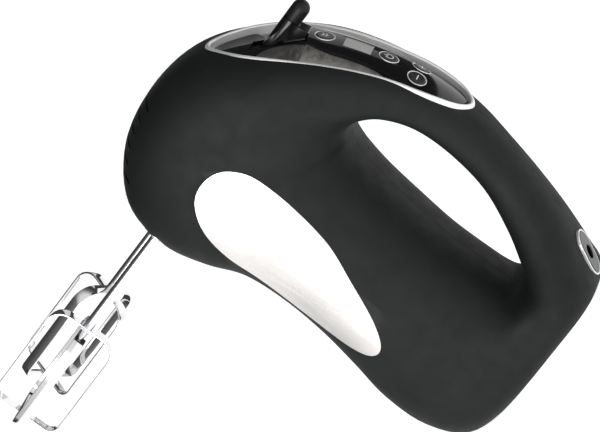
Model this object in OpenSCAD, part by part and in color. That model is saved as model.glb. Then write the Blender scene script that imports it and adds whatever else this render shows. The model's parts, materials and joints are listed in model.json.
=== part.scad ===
// Hand mixer standing on its heel: +Z runs from the heel to the nose,
// the beaters point along -X and the control panel faces +X.

/* [Casing] */
// Wall thickness of the two casing halves
wall = 2.5; // [2:0.1:3]
// Steps between two stations of the casing loft
loft_steps = 2; // [1:1:4]
// Points round one section of the casing loft
section_points = 28; // [20:4:40]
// Radius of the screw bosses inside the casing
boss_r = 3.8; // [3.4:0.1:4.2]
// Height of the side inlays over the casing
inlay_proud = 0.4; // [0.2:0.1:0.8]
// Width of one air slot in the nose
vent_w = 1.4; // [1:0.1:1.8]

/* [Control panel] */
// Length of the chord under the panel's arc
panel_len = 128; // [126:1:130]
// Rise of the panel's arc over its chord
panel_sag = 13.2; // [12.6:0.1:13.8]
// Width of the trim ring's band
trim_w = 2.2; // [1.8:0.1:2.6]
// Radius of the control strip along its length
strip_r = 160; // [155:1:165]
// Radius of the control strip's crown across its width
crown_r = 34; // [30:1:40]
// Radius of a push button's cap
button_r = 4; // [3.7:0.1:4.2]
// Travel of a push button
button_travel = 0.8; // [0.5:0.1:0.8]

/* [Beaters and drive] */
// Distance between the two beater shafts
beater_gap = 42; // [41.8:0.1:42.4]
// Height of the beater shafts over the heel
beater_z = 173; // [172:0.5:174]
// Radius of a beater shaft
shaft_r = 2.5; // [2.3:0.05:2.5]
// Outer radius of a beater's cage
cage_r = 17.75; // [16:0.25:18.5]
// Width of a beater's steel strip
strip_w = 5.5; // [4.5:0.25:6]
// Thickness of a beater's steel strip
strip_t = 1; // [0.8:0.1:1.2]
// Running clearance of a shaft in its bush
run_gap = 0.05; // [0.02:0.01:0.1]

/* [Motor] */
// Distance of the motor shaft from the row's Z axis, towards the beaters
motor_x = 20; // [19:0.5:21]
// Radius of the armature core
core_r = 14; // [12:0.5:14]
// Length of the stator stack
stack_len = 30; // [26:1:32]
// Radius of the cooling fan
fan_r = 22; // [18:1:22]

/* [Beater release] */
// Length of the lever's inner arm
lever_arm = 27; // [26:0.5:27]

/* [Hidden] */
$fn = 64;
big = 400;
touch = 0.02;

// Casing stations in order round the handle opening, starting in the belly:
// opening edge x and z, outer edge x and z, half width, squareness.
STATIONS = [
    [14.5, 44, -64.5, 46, 37.5, 2.7],
    [14.5, 66, -60, 66, 38.5, 2.6],
    [16.5, 87, -55.5, 88, 39.5, 2.6],
    [19, 106, -53.5, 111, 40.5, 2.6],
    [22, 119, -55, 132, 42, 2.6],
    [24.5, 126, -62, 150, 43, 2.7],
    [27, 129.5, -66.5, 171, 43, 2.7],
    [28.5, 131, -60.5, 194, 42, 2.6],
    [30, 132, -38.5, 210, 41, 2.6],
    [31.5, 132.5, -12, 214.5, 40, 2.6],
    [34, 132.5, 14, 209, 39, 2.5],
    [38, 131.5, 35.8, 192.4, 37, 2.5],
    [43, 130, 53.4, 169, 33.5, 3],
    [48.5, 122.5, 64.9, 144.9, 28, 2.9],
    [51.5, 108.5, 71.6, 119.8, 21.5, 2.9],
    [50, 90, 72.5, 92, 18, 2.5],
    [45, 68, 68.5, 70, 16.5, 2.3],
    [35.5, 48, 63, 50, 18.5, 2.3],
    [27, 34.5, 56, 30.5, 22.5, 2.3],
    [24, 28.5, 47, 12.5, 28, 2.4],
    [21.5, 26, 37, -1, 32, 2.9],
    [18.5, 26, 10, -2, 34.5, 3.8],
    [16, 28, -25.5, -2, 36, 3.6],
    [14.5, 31.5, -52, 4, 37, 3.2],
    [14.5, 36, -63.5, 23, 37, 2.9]
];

// Half outlines as [length, half width] and whole outlines as [x, z].
PANEL_EDGE = [
    [3.5, 0], [5, 5.5], [9.5, 11], [16, 16.3], [23, 20.3], [34, 23.6],
    [48, 24.9], [62, 24.2], [76, 22], [90, 19.6], [104, 18], [115, 15],
    [122, 11.2], [126.5, 5.5], [128, 0]
];
STRIP_EDGE = [
    [49.5, 0], [49.5, 7], [51.5, 8.8], [57, 10.6], [64, 11.4], [74, 11.4],
    [82, 11.8], [90, 13.8], [97, 15], [105, 13.8], [113, 12], [119, 8.5], [123, 4],
    [124, 0]
];
WELL_EDGE = [
    [6.2, 0], [7.4, 4.4], [11.2, 9.2], [17, 14], [23, 17.2], [27, 13.5],
    [31, 8.6], [36, 6.6], [44, 6.6], [52, 8]
];
INLAY_EDGE = [
    [-18, 172], [-8, 169], [-1.5, 160], [0, 148], [-1, 132], [-6, 111],
    [-14.5, 93], [-25, 73], [-34, 63], [-41, 64.5], [-44.5, 76],
    [-45, 98], [-43.5, 120], [-41, 140], [-36.5, 158], [-28, 169]
];

front_tip = [16, 0, 208.4];
panel_tilt = 63.9;
panel_r = (panel_len * panel_len / 4 + panel_sag * panel_sag) / (2 * panel_sag);
arc_centre = [panel_len / 2, panel_sag - panel_r];
trim_top = 1.4;
trim_deep = 4.7;
floor_deep = 3.5;
base_deep = 7;
strip_centre = [51.5, -141];
strip_thick = 1.6;
strip_start = 49.5;
ramp_foot = [8, 0.7];
ramp_tilt = 21.5;
board_point = [75, 0, -1.6];
board_tilt = 8;
switch_h = 3.5;
switch_lift = 1.05;
window_u = 72.2;
window_size = [13, 9.6];

// Push buttons as [length along the panel, side].
BOOST = [56.5, 0];
POWER = [86.5, 0];
MINUS = [101.3, -6];
PLUS = [101.3, 6];
BUTTONS = [BOOST, POWER, MINUS, PLUS];
bezel_r = 4.9;
well_r = button_r + 0.3;
stem_r = 2;

lever_pivot = [32, 178];
lever_half_w = 4.2;
stalk_z = 182;
stalk_end = 61.6;
grip_start = 55;
arm_end = lever_pivot + lever_arm * [-sin(45), cos(45)];
arm_tip_r = 2;
pad_x = arm_end[0] - arm_tip_r - 0.6;
pusher_t = 2.5;
pusher_x = pad_x - pusher_t;

axis_y = beater_gap / 2;
gear_teeth = 26;
worm_pitch_r = 5;
gear_pitch_r = axis_y - worm_pitch_r;
axial_pitch = 2 * PI * gear_pitch_r / gear_teeth;
lead = 2 * axial_pitch;
gear_w = 12;
tooth_share = 0.205;
spindle_r = 5;
spindle_low = -62;
spindle_high = -2;
bore_r = shaft_r + run_gap;
bush_r = 7.5;
beater_top = -14;
hub_x = -121.5;
cage_len = 57.7;
left_phase = 0;
right_phase = 54;

stack_low = 76;
stack_high = stack_low + stack_len;
shaft_low = 30;
shaft_r2 = 3;
worm_low = 158;
worm_high = 186;
frame_low_x = -50;
plate_t = 4;
wall_z = 138;

// Screws that join the halves, as [x, z].
SCREWS = [[-40, 14], [26, 13], [53, 70], [-48.5, 124], [-6, 203.5]];
// Posts of the gearbox, as [y, z].
POSTS = [[25, 149], [-25, 149], [12, 194.5], [-12, 194.5]];

gland_point = [47, 0, 12.5];
gland_tilt = 119;
cord_r = 3.2;

// ---------------------------------------------------------------- curves

// Catmull-Rom value between b and c.
function blend(a, b, c, d, t) =
    0.5 * (2 * b + (c - a) * t + (2 * a - 5 * b + 4 * c - d) * t * t
    + (3 * b - a - 3 * c + d) * t * t * t);

// Closed list of points with extra points blended in between.
function smooth(p, steps) =
    let (n = len(p))
    [for (i = [0:n - 1], k = [0:steps - 1])
        blend(p[(i + n - 1) % n], p[i], p[(i + 1) % n], p[(i + 2) % n], k / steps)];

// Half outline joined to its mirror image.
function both_sides(half) =
    let (n = len(half))
    concat(half, [for (i = [n - 1:-1:0]) if (half[i][1] > 0) [half[i][0], -half[i][1]]]);

// Closed outline moved inwards; it runs clockwise seen from above.
function inset(p, d) =
    let (n = len(p))
    [for (i = [0:n - 1])
        let (t = p[(i + 1) % n] - p[(i + n - 1) % n])
        p[i] + d * [t[1], -t[0]] / norm(t)];

function spow(v, e) = sign(v) * pow(abs(v), e);

// One section of the casing, moved inwards by d.
function section(s, d) =
    let (h = [s[0], s[1]], c = [s[2], s[3]], mid = (h + c) / 2,
        half = norm(c - h) / 2, dir = (c - h) / (2 * half), e = 2 / s[5])
    [for (k = [0:section_points - 1])
        let (f = 360 * k / section_points,
            q = mid + dir * (half - d) * spow(cos(f), e))
        [q[0], (s[4] - d) * spow(sin(f), e), q[1]]];

// Whole casing as a closed ring round the handle opening.
module casing_ring(d) {
    rings = [for (s = smooth(STATIONS, loft_steps)) section(s, d)];
    m = len(rings);
    n = section_points;
    polyhedron(
        [for (r = rings, p = r) p],
        [for (i = [0:m - 1], k = [0:n - 1])
            [i * n + k, i * n + (k + 1) % n,
                ((i + 1) % m) * n + (k + 1) % n, ((i + 1) % m) * n + k]],
        convexity = 6);
}

module above(z) {
    translate([-big / 2, -big / 2, z]) cube([big, big, big]);
}

module casing_solid(d) {
    intersection() {
        casing_ring(d);
        above(d);
    }
}

// Side of the casing between two depths, over the stations of belly and nose.
module side_shell(side, d0, d1) {
    rings = smooth(STATIONS, loft_steps);
    half = section_points / 2;
    first = side > 0 ? 0 : half;
    skin([for (i = [0:9 * loft_steps])
        let (a = section(rings[i], d0), b = section(rings[i], d1))
        concat([for (k = [half - 2:-1:2]) a[first + k]], [for (k = [2:half - 2]) b[first + k]])],
        2 * half - 6);
}

// Closed skin over rings of n points each, listed from one end to the other.
module skin(rings, n) {
    last = len(rings) - 1;
    polyhedron(
        [for (r = rings, p = r) p],
        concat(
            [for (i = [0:last - 1], k = [0:n - 1])
                [i * n + (k + 1) % n, i * n + k, (i + 1) * n + k, (i + 1) * n + (k + 1) % n]],
            [[for (k = [0:n - 1]) k]],
            [[for (k = [n - 1:-1:0]) last * n + k]]));
}

// ---------------------------------------------------------- panel places

// Frame of the panel: x from the front tip to the rear tip, z outwards.
module on_panel() {
    translate(front_tip) rotate([0, panel_tilt, 0]) children();
}

// Cylinder under the panel's arc, raised by d.
module arc_body(d, half_w = 40) {
    translate([arc_centre[0], 0, arc_centre[1]]) rotate([90, 0, 0])
        cylinder(r = panel_r + d, h = 2 * half_w, center = true, $fn = 180);
}

// Solid under the crowned top of the control strip, raised by d.
module crown_body(d) {
    translate([strip_centre[0], 0, strip_centre[1]]) rotate([90, 0, 0])
        rotate_extrude($fn = 240) intersection() {
            translate([0, -30]) square([strip_r + d, 60]);
            union() {
                translate([strip_r - crown_r, 0]) circle(crown_r + d, $fn = 180);
                translate([0, -crown_r]) square([strip_r - crown_r, 2 * crown_r]);
            }
        }
}

module panel_prism(d) {
    translate([0, 0, -40]) linear_extrude(80)
        polygon(inset(smooth(both_sides(PANEL_EDGE), 3), d));
}

function strip_angle(u) = asin((u - strip_centre[0]) / strip_r);

// Frame on the control strip's crown, z along the outward normal.
module at_crown(place) {
    on_panel()
        translate([strip_centre[0], 0, strip_centre[1]])
        rotate([0, strip_angle(place[0]), 0])
        translate([0, 0, strip_r - crown_r])
        rotate([-asin(place[1] / crown_r), 0, 0])
        translate([0, 0, crown_r])
        children();
}

// Depth of the control board under the crown, along a button's axis.
function board_depth(place) =
    let (g = strip_angle(place[0]), t = asin(place[1] / crown_r),
        out = [sin(g) * cos(t), sin(t), cos(g) * cos(t)],
        p = [strip_centre[0], 0, strip_centre[1]]
            + (strip_r - crown_r) * [sin(g), 0, cos(g)] + crown_r * out,
        m = [sin(board_tilt), 0, cos(board_tilt)])
    ((p - board_point) * m) / (out * m);

// ------------------------------------------------------------ axis helps

// Cylinder along X from x0 to x1.
module rod_x(x0, x1, r) {
    translate([x0, 0, 0]) rotate([0, 90, 0]) cylinder(r = r, h = x1 - x0);
}

// Frame on the spindle line of one side, side = -1 left and 1 right.
module on_spindle(side) {
    translate([0, side * axis_y, beater_z]) children();
}

module on_motor() {
    translate([-motor_x, 0, 0]) children();
}

// ---------------------------------------------------------------- casing

module inlay_prism(d) {
    rotate([90, 0, 0]) linear_extrude(120, center = true)
        polygon(inset(smooth(INLAY_EDGE, 3), d));
}

module vent_slots(side) {
    for (i = [0:5])
        translate([-46 + 6.6 * i, side * 17, 204 + 1.1 * i])
            rotate([side * 22, 0, 0])
            hull() {
                for (end = [-1, 1])
                    translate([0, end * 6, 0])
                        cylinder(d = vent_w, h = 40, center = true, $fn = 16);
            }
}

module gland_shape(r, half_len) {
    hull() {
        for (end = [-1, 1]) translate([end * half_len, 0, 0]) circle(r, $fn = 32);
    }
}

module casing_cuts(side) {
    on_panel() difference() {
        panel_prism(-0.1);
        arc_body(-base_deep - 0.1);
    }
    intersection() {
        inlay_prism(-0.12);
        side_shell(side, -1, 0.9);
    }
    on_spindle(side) rod_x(-90, -50, 7.4);
    vent_slots(side);
    translate(gland_point) rotate([0, gland_tilt, 0])
        translate([0, 0, -20]) linear_extrude(40) gland_shape(7.4, 4);
}

module at_screws(side) {
    for (s = SCREWS) translate([s[0], 0, s[1]]) rotate([-side * 90, 0, 0]) children();
}

// One half: the hollow is cut out of the solid casing, round the screw bosses.
module casing_half(side) {
    difference() {
        intersection() {
            casing_solid(0);
            translate([-big / 2, side > 0 ? 0 : -big, -1]) cube([big, big, big]);
        }
        difference() {
            casing_solid(wall);
            at_screws(side) translate([0, 0, touch]) cylinder(r = boss_r, h = 60, $fn = 24);
        }
        casing_cuts(side);
        at_screws(side) {
            translate([0, 0, -1]) cylinder(r = 1.65, h = side > 0 ? 60 : 15, $fn = 20);
            if (side > 0) translate([0, 0, 8]) cylinder(r = 3.1, h = 60, $fn = 24);
        }
    }
}

module left_housing() {
    color("#2f3133") casing_half(-1);
}

module right_housing() {
    color("#2f3133") casing_half(1);
}

// Steel plate let into the side of one half.
module side_inlay(side) {
    color("#c9c6c0") intersection() {
        side_shell(side, -inlay_proud, 0.8);
        inlay_prism(0);
    }
}

module left_side_inlay() {
    side_inlay(-1);
}

module right_side_inlay() {
    side_inlay(1);
}

module housing_screws() {
    color("silver") for (s = SCREWS)
        translate([s[0], 0, s[1]]) rotate([90, 0, 0]) {
            translate([0, 0, -10.4]) difference() {
                cylinder(r = 2.9, h = 2.4);
                translate([0, 0, -1]) cylinder(r = 1.3, h = 2.2, $fn = 6);
            }
            translate([0, 0, -8]) cylinder(r = 1.6, h = 20);
        }
}

// ----------------------------------------------------------------- panel

module panel_trim_ring() {
    color("#e8e8ea") on_panel() intersection() {
        difference() {
            panel_prism(0);
            panel_prism(trim_w);
        }
        difference() {
            arc_body(trim_top);
            arc_body(-trim_deep);
        }
    }
}

// Solid under the crowned ramp that rises from the front tip to the strip.
module ramp_body() {
    translate([ramp_foot[0], 0, ramp_foot[1]]) rotate([0, -ramp_tilt, 0])
        translate([-10, 0, -crown_r]) rotate([0, 90, 0])
        cylinder(r = crown_r, h = 70, $fn = 120);
}

// Part of the panel's length from u0 to u1.
module panel_span(u0, u1) {
    translate([u0, -50, -40]) cube([u1 - u0, 100, 80]);
}

module lever_slot() {
    translate([24, -4.9, -20]) cube([24.9, 9.8, 60]);
}

module lever_lugs() {
    for (side = [-1, 1]) on_pivot() rotate([0, panel_tilt, 0]) translate([0, side * 6.9, 0]) {
        rotate([90, 0, 0]) cylinder(r = 4, h = 3, center = true);
        translate([-4, -1.5, 0]) cube([8, 3, 4.6]);
    }
}

module on_pivot() {
    translate([lever_pivot[0], 0, lever_pivot[1]]) children();
}

module well_prism() {
    intersection() {
        translate([0, 0, -20]) linear_extrude(60) polygon(smooth(both_sides(WELL_EDGE), 3));
        panel_span(0, strip_start - 0.1);
    }
}

// Grey floor: low beside the ring, crowned up to the strip and round the well.
module floor_body() {
    arc_body(-floor_deep);
    intersection() {
        crown_body(-strip_thick);
        panel_span(strip_start, 140);
    }
    difference() {
        intersection() {
            ramp_body();
            panel_span(0, strip_start + touch);
        }
        well_prism();
    }
}

module panel_base() {
    color("#8f8e8b") difference() {
        union() {
            on_panel() difference() {
                intersection() {
                    panel_prism(trim_w + 0.1);
                    floor_body();
                }
                arc_body(-base_deep);
                intersection() {
                    crown_body(-strip_thick - wall);
                    panel_span(strip_start + wall, 140);
                }
                lever_slot();
                window_hole();
            }
            on_panel() intersection() {
                difference() {
                    panel_prism(0.1);
                    panel_prism(trim_w + 0.4);
                }
                difference() {
                    arc_body(-trim_deep);
                    arc_body(-base_deep);
                }
            }
            lever_lugs();
        }
        on_pivot() rotate([90, 0, 0]) cylinder(r = 1.5, h = 30, center = true);
        for (b = BUTTONS) at_crown(b) {
            translate([0, 0, -25]) cylinder(r = stem_r + 0.5, h = 30);
            translate([0, 0, -4.2]) cylinder(r = well_r, h = 10);
        }
    }
}

module lever_surround() {
    color("#101012") on_panel() difference() {
        intersection() {
            well_prism();
            union() {
                ramp_body();
                arc_body(-floor_deep + 1);
            }
        }
        arc_body(-floor_deep);
        lever_slot();
    }
}

module strip_prism() {
    translate([0, 0, -20]) linear_extrude(60) polygon(smooth(both_sides(STRIP_EDGE), 2));
}

module window_prism(grow) {
    translate([window_u, 0, -20]) linear_extrude(60)
        square([window_size[0] + grow, window_size[1] + grow], center = true);
}

module window_hole() {
    window_prism(-3);
}

module control_strip() {
    color("#0b0b0d") difference() {
        on_panel() difference() {
            intersection() {
                strip_prism();
                crown_body(0);
            }
            arc_body(-floor_deep);
            crown_body(touch - strip_thick);
            difference() {
                window_prism(0.2);
                crown_body(-1);
            }
            window_hole();
        }
        for (b = BUTTONS) at_crown(b) {
            translate([0, 0, -4.2]) cylinder(r = well_r, h = 10);
            translate([0, 0, -0.9]) cylinder(r = bezel_r, h = 10);
        }
    }
}

module button_bezels() {
    color("#d8d8da") for (b = BUTTONS) at_crown(b) translate([0, 0, -0.9])
        difference() {
            cylinder(r = bezel_r, h = 0.85);
            translate([0, 0, -1]) cylinder(r = well_r, h = 3);
        }
}

module display_window() {
    color("#b9bcb8") on_panel() intersection() {
        window_prism(0);
        difference() {
            crown_body(0.1);
            crown_body(-1);
        }
    }
}

module push_button(place) {
    color("#141416") at_crown(place) {
        translate([0, 0, -3.2]) cylinder(r = button_r, h = 3.5);
        deep = board_depth(place) - switch_h - switch_lift - 0.2 - button_travel;
        translate([0, 0, -deep]) cylinder(r = stem_r, h = deep - 3.2 + touch);
    }
}

module boost_button() {
    push_button(BOOST);
}

module power_button() {
    push_button(POWER);
}

module minus_button() {
    push_button(MINUS);
}

module plus_button() {
    push_button(PLUS);
}

module key_switches() {
    color("#3b3b3e") for (b = BUTTONS) at_crown(b)
        translate([0, 0, -board_depth(b) + switch_lift]) {
            translate([-2.8, -2.8, 0]) cube([5.6, 5.6, 2.3]);
            cylinder(r = 1.6, h = switch_h);
        }
}

module control_board() {
    color("#2e6b3c") on_panel() translate(board_point) rotate([0, board_tilt, 0])
        translate([-28, -9, -1.4]) difference() {
            cube([64, 18, 1.4]);
            for (x = [3.5, 60.5]) translate([x, 9, -1]) cylinder(r = 1.2, h = 4);
        }
}

// --------------------------------------------------------- beater release

module lever_side_shape() {
    polygon([[29, 181.5], [33.5, 186.2], [40, 186.2], [54.8, 182], [54.8, 177.6],
        [55.8, 173], [53.2, 172.8], [52.2, 172.4], [47.6, 170.6], [34, 173.9]]);
}

module eject_lever() {
    color("#17181a") difference() {
        union() {
            on_pivot() rotate([90, 0, 0]) cylinder(r = 4.5, h = 9.2, center = true);
            rotate([90, 0, 0])
                linear_extrude(2 * lever_half_w - 0.6, center = true) lever_side_shape();
            translate([0, 0, stalk_z]) {
                rod_x(34, grip_start, lever_half_w);
                rod_x(grip_start - 1, stalk_end, 3.4);
            }
            rotate([90, 0, 0]) linear_extrude(6, center = true) hull() {
                translate(lever_pivot) circle(2.6, $fn = 32);
                translate(arm_end) circle(arm_tip_r, $fn = 32);
            }
        }
        on_pivot() rotate([90, 0, 0]) cylinder(r = 1.5 + run_gap, h = 30, center = true);
    }
}

module lever_cap() {
    color("#232426") translate([0, 0, stalk_z]) difference() {
        union() {
            rod_x(grip_start, stalk_end, lever_half_w);
            translate([stalk_end, 0, 0]) sphere(lever_half_w);
        }
        rod_x(grip_start - 1, stalk_end, 3.4);
    }
}

module lever_pin() {
    color("silver") on_pivot() rotate([90, 0, 0]) cylinder(r = 1.5, h = 16.8, center = true);
}

module eject_pusher() {
    color("#d9d6cc") {
        translate([pusher_x, -axis_y - 5, beater_z - 5])
            cube([pusher_t, beater_gap + 10, 10]);
        translate([pusher_x, -7, beater_z]) cube([pusher_t, 14, 26]);
        for (side = [-1, 1]) on_spindle(side)
            rod_x(beater_top + 0.3, pusher_x + touch, shaft_r - 0.1);
    }
}

// Helical spring along X from x0 to x1.
module coil_spring(x0, x1, r, wire, turns) {
    per = 14;
    sides = 6;
    total = per * turns;
    rings = [for (i = [0:total])
        let (f = 360 * i / per, x = x0 + (x1 - x0) * i / total)
        [for (k = [0:sides - 1])
            let (a = 360 * k / sides, q = r + wire * cos(a))
            [x + wire * sin(a), q * cos(f), q * sin(f)]]];
    skin(rings, sides);
}

module eject_springs() {
    color("silver") for (side = [-1, 1]) on_spindle(side)
        coil_spring(spindle_high + 0.6, pusher_x - 0.6, 3.6, 0.4, 3);
}

// --------------------------------------------------------------- gearbox

module post(x0, x1, r) {
    for (p = POSTS) translate([0, p[0], p[1]]) rod_x(x0, x1, r);
}

module gearbox_frame() {
    color("#6d6f72") difference() {
        union() {
            translate([frame_low_x, -31, 150]) cube([plate_t, 62, 36]);
            translate([frame_low_x, -27, 142]) cube([plate_t, 54, 10]);
            translate([frame_low_x + 4, -14, 180]) cube([plate_t, 28, 18]);
            translate([frame_low_x, -14, 180]) cube([5, 28, 6]);
            translate([frame_low_x, -27, wall_z]) cube([54, 54, 5]);
            translate([frame_low_x + 4, -14, 192]) cube([40, 28, 5.5]);
            post(frame_low_x + 1, -6, 3.2);
            on_motor() translate([0, 0, wall_z - 3]) cylinder(r = 9, h = 11);
            for (side = [-1, 1]) on_spindle(side) rod_x(frame_low_x - 3, frame_low_x + 6, 9.6);
        }
        on_motor() translate([0, 0, wall_z - 10]) cylinder(r = 6, h = 30);
        on_motor() translate([0, 0, 185]) cylinder(r = 5, h = 30);
        for (side = [-1, 1]) on_spindle(side) rod_x(-70, -30, bush_r);
        post(-18, 0, 1.3);
        for (x = [-1, 1], y = [-1, 1]) on_motor()
            translate([x * 20, y * 20, wall_z - 5]) cylinder(r = 1.7, h = 12);
    }
}

module gearbox_cover() {
    color("#6d6f72") difference() {
        union() {
            translate([-6, -32, 144]) cube([plate_t, 64, 42]);
            translate([-6, -16, 180]) cube([plate_t, 32, 19]);
            for (side = [-1, 1]) on_spindle(side) rod_x(-9, -2, 9.5);
        }
        for (side = [-1, 1]) on_spindle(side) rod_x(-12, 4, bush_r);
        post(-12, 4, 1.7);
    }
}

module gearbox_screws() {
    color("silver") for (p = POSTS) translate([0, p[0], p[1]]) {
        rod_x(-16, -2, 1.3);
        difference() {
            rod_x(-2, 0, 2.8);
            translate([-1, 0, 0]) rotate([0, 90, 0]) cylinder(r = 1.2, h = 3, $fn = 6);
        }
    }
}

module bush(side, x0, x1) {
    on_spindle(side) difference() {
        rod_x(x0, x1, bush_r);
        rod_x(x0 - 1, x1 + 1, spindle_r + run_gap);
    }
}

module lower_bushes() {
    color("#b08d57") for (side = [-1, 1]) bush(side, frame_low_x - 3, frame_low_x + 6);
}

module upper_bushes() {
    color("#b08d57") for (side = [-1, 1]) bush(side, -9, -2);
}

// Collars round the two beater sockets, set back a little from the casing.
module socket_collars() {
    color("#1d1e20") for (side = [-1, 1]) on_spindle(side) difference() {
        rod_x(-70, -57.5, 7.3);
        rod_x(-71, -50, spindle_r + 0.4);
        translate([-62.7, 0, 0]) rotate([0, 0, -side * 20.7])
            translate([-20, -20, -20]) cube([20, 40, 40]);
    }
}

// Outline of a gear of z teeth: each has a root, a pitch and a tip point a side.
function gear_outline(z, rp) =
    let (step = 360 / z, half = 360 * tooth_share / z, lean = tan(20) / rp * 180 / PI)
    [for (i = [0:z - 1], q = [
            [rp - 1.3, -half - 1.3 * lean], [rp, -half], [rp + 1, -half + lean],
            [rp + 1, half - lean], [rp, half], [rp - 1.3, half + 1.3 * lean]])
        let (a = step * (i + 0.5) + q[1])
        q[0] * [cos(a), sin(a)]];

// Helical gear on one spindle, with a gap facing the worm.
module drive_gear(side) {
    twist = gear_w * axial_pitch * 2 / (2 * PI * worm_pitch_r) / gear_pitch_r * 180 / PI;
    on_spindle(side) difference() {
        union() {
            translate([-motor_x - gear_w / 2, 0, 0]) rotate([0, 90, 0])
                rotate(side > 0 ? 90 : -90) rotate(180 - twist / 2)
                linear_extrude(gear_w, twist = -twist, slices = 5)
                polygon(gear_outline(gear_teeth, gear_pitch_r));
            rod_x(-motor_x - 9, -motor_x + 9, 8.5);
        }
        rod_x(-40, 0, spindle_r);
        for (i = [0:5]) rotate([60 * i, 0, 0]) translate([0, 11.2, 0]) rod_x(-40, 0, 1.9);
    }
}

module left_drive_gear() {
    color("#e9e4d4") drive_gear(-1);
}

module right_drive_gear() {
    color("#e9e4d4") drive_gear(1);
}

module spindle(side, phase) {
    color("#9a9ca0") on_spindle(side) rotate([phase, 0, 0]) difference() {
        union() {
            rod_x(spindle_low, spindle_high, spindle_r);
            rod_x(frame_low_x + 6.3, frame_low_x + 9, 7);
        }
        rod_x(spindle_low - 1, spindle_high + 1, bore_r);
        translate([spindle_low - 1, -5.5, -1.25]) cube([9, 11, 2.5]);
    }
}

module left_spindle() {
    spindle(-1, left_phase);
}

module right_spindle() {
    spindle(1, right_phase);
}

// --------------------------------------------------------------- beaters

module beater_shaft(side, phase) {
    color("#dcdde0") on_spindle(side) rotate([phase, 0, 0]) {
        rod_x(hub_x, beater_top, shaft_r);
        translate([spindle_low + 1, -4.2, -0.9]) cube([5.5, 8.4, 1.8]);
    }
}

// Closed strip hoop of one beater, turned about the shaft.
module hoop(side, turn, r, x0, x1) {
    outer = hoop_points(r, x0, x1, 0);
    inner = hoop_points(r, x0, x1, strip_t);
    on_spindle(side) rotate([turn, 0, 0])
        linear_extrude_y(strip_w) difference() {
            polygon(outer);
            polygon(inner);
        }
}

// Extrusion across a plane that holds the X axis.
module linear_extrude_y(w) {
    rotate([90, 0, 0]) linear_extrude(w, center = true) children();
}

// Hoop outline moved inwards by d: wide shoulders and tighter lower corners.
function hoop_points(r, x0, x1, d) =
    let (shoulder = 9 - d, foot = 5.5 - d, a = x0 - d, b = x1 + d, w = r - d)
    concat(
        [for (f = [90:-10:0]) [a - shoulder + shoulder * sin(f), w - shoulder + shoulder * cos(f)]],
        [for (f = [0:15:90]) [b + foot - foot * sin(f), w - foot + foot * cos(f)]],
        [for (f = [90:-15:0]) [b + foot - foot * sin(f), -w + foot - foot * cos(f)]],
        [for (f = [0:10:90]) [a - shoulder + shoulder * sin(f), -w + shoulder - shoulder * cos(f)]]);

module outer_hoop(side, phase) {
    color("#dcdde0") hoop(side, phase, cage_r, hub_x, hub_x - cage_len);
}

module inner_hoop(side, phase) {
    color("#dcdde0") hoop(side, phase + 90, cage_r, hub_x - strip_t,
        hub_x - cage_len + strip_t);
}

module left_beater_shaft() {
    beater_shaft(-1, left_phase);
}

module left_outer_hoop() {
    outer_hoop(-1, left_phase);
}

module left_inner_hoop() {
    inner_hoop(-1, left_phase);
}

module right_beater_shaft() {
    beater_shaft(1, right_phase);
}

module right_outer_hoop() {
    outer_hoop(1, right_phase);
}

module right_inner_hoop() {
    inner_hoop(1, right_phase);
}

// ----------------------------------------------------------------- motor

module motor_stator() {
    color("#77797c") on_motor() translate([0, 0, stack_low]) difference() {
        intersection() {
            translate([-25, -25, 0]) cube([50, 50, stack_len]);
            translate([0, 0, -1]) cylinder(r = 32, h = stack_len + 2);
        }
        translate([0, 0, -1]) cylinder(r = core_r + 0.6, h = stack_len + 2);
        for (x = [-1, 1], y = [-1, 1])
            translate([x * 17.5 - 2.4, y * 11 - 2.2, -1]) cube([4.8, 4.4, stack_len + 2]);
        for (x = [-1, 1], y = [-1, 1])
            translate([x * 20, y * 20, -1]) cylinder(r = 1.7, h = stack_len + 2);
    }
}

module field_windings() {
    color("#b5652b") for (x = [-1, 1]) on_motor()
        translate([x * 17.5 - 2.2, 0, stack_low + stack_len / 2]) rotate([0, 90, 0])
        linear_extrude(4.4) difference() {
            square([stack_len + 14, 26], center = true);
            square([stack_len + 4, 18], center = true);
        }
}

module motor_bridge() {
    color("#6d6f72") on_motor() difference() {
        union() {
            translate([-9, -24, 34]) cube([18, 48, 6]);
            translate([0, 0, 34]) cylinder(r = 10, h = 9);
            for (y = [-1, 1]) translate([-24, y * 20 - 4, 34]) cube([48, 8, 6]);
            for (x = [-1, 1], y = [-1, 1])
                translate([x * 20, y * 20, 34]) cylinder(r = 4, h = stack_low - 34);
        }
        translate([0, 0, 30]) cylinder(r = 7, h = 20);
        for (x = [-1, 1], y = [-1, 1])
            translate([x * 20, y * 20, 30]) cylinder(r = 1.7, h = 60);
    }
}

module motor_screws() {
    color("silver") for (x = [-1, 1], y = [-1, 1]) on_motor() translate([x * 20, y * 20, 0]) {
        translate([0, 0, 34]) cylinder(r = 1.5, h = wall_z + 4 - 34);
        translate([0, 0, 31.5]) cylinder(r = 3, h = 2.5);
        translate([0, 0, wall_z - 5.2]) cylinder(r = 3, h = 5.2);
    }
}

module front_bearing() {
    color("#b08d57") on_motor() translate([0, 0, wall_z - 3]) difference() {
        cylinder(r = 6, h = 11);
        translate([0, 0, -1]) cylinder(r = shaft_r2 + run_gap, h = 13);
    }
}

module rear_bearing() {
    color("#b08d57") on_motor() translate([0, 0, 34]) difference() {
        cylinder(r = 7, h = 9);
        translate([0, 0, -1]) cylinder(r = shaft_r2 + run_gap, h = 11);
    }
}

module nose_bearing() {
    color("#b08d57") on_motor() translate([0, 0, 192]) difference() {
        cylinder(r = 5, h = 5.5);
        translate([0, 0, -1]) cylinder(r = 2.5 + run_gap, h = 8);
    }
}

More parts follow.
